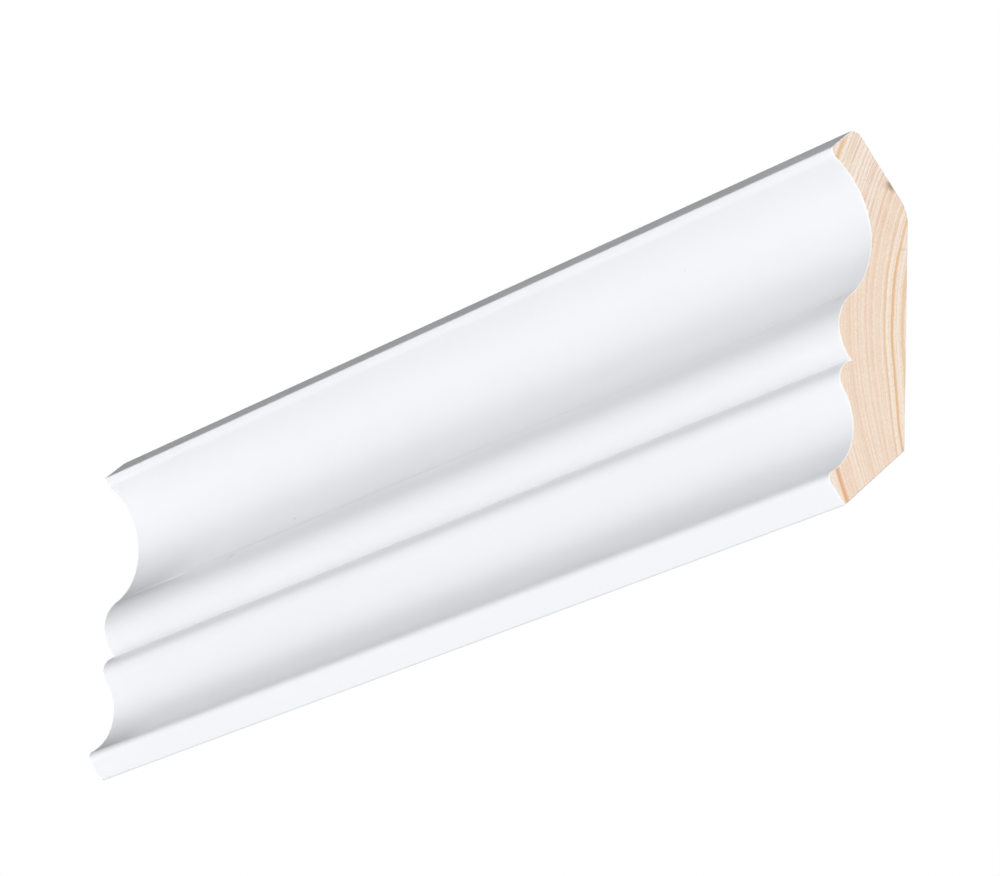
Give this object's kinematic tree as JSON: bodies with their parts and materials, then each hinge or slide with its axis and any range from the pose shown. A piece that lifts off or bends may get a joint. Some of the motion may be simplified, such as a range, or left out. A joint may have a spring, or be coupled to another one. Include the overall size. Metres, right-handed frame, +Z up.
{
  "type": "cove moulding",
  "caption": "Length of pine cove moulding, painted white, that leans across the corner of a wall and a ceiling: lip, large cove, bead, roll, small cove and toe on a bevelled back.",
  "frame": {"origin": "middle of the flat on the back that bears on the wall", "axes": "+X along the length, +Y into the wall, +Z up to the ceiling; the moulded face looks down into the room, towards -Y and -Z"},
  "size_m": [0.32, 0.0672, 0.0686],
  "materials": {
    "painted_pine": "satin white paint on the moulded face, bare pine on the back and the cut ends"
  },
  "bodies": {
    "root": {"cove_moulding": "painted_pine"}
  },
  "joints": []
}
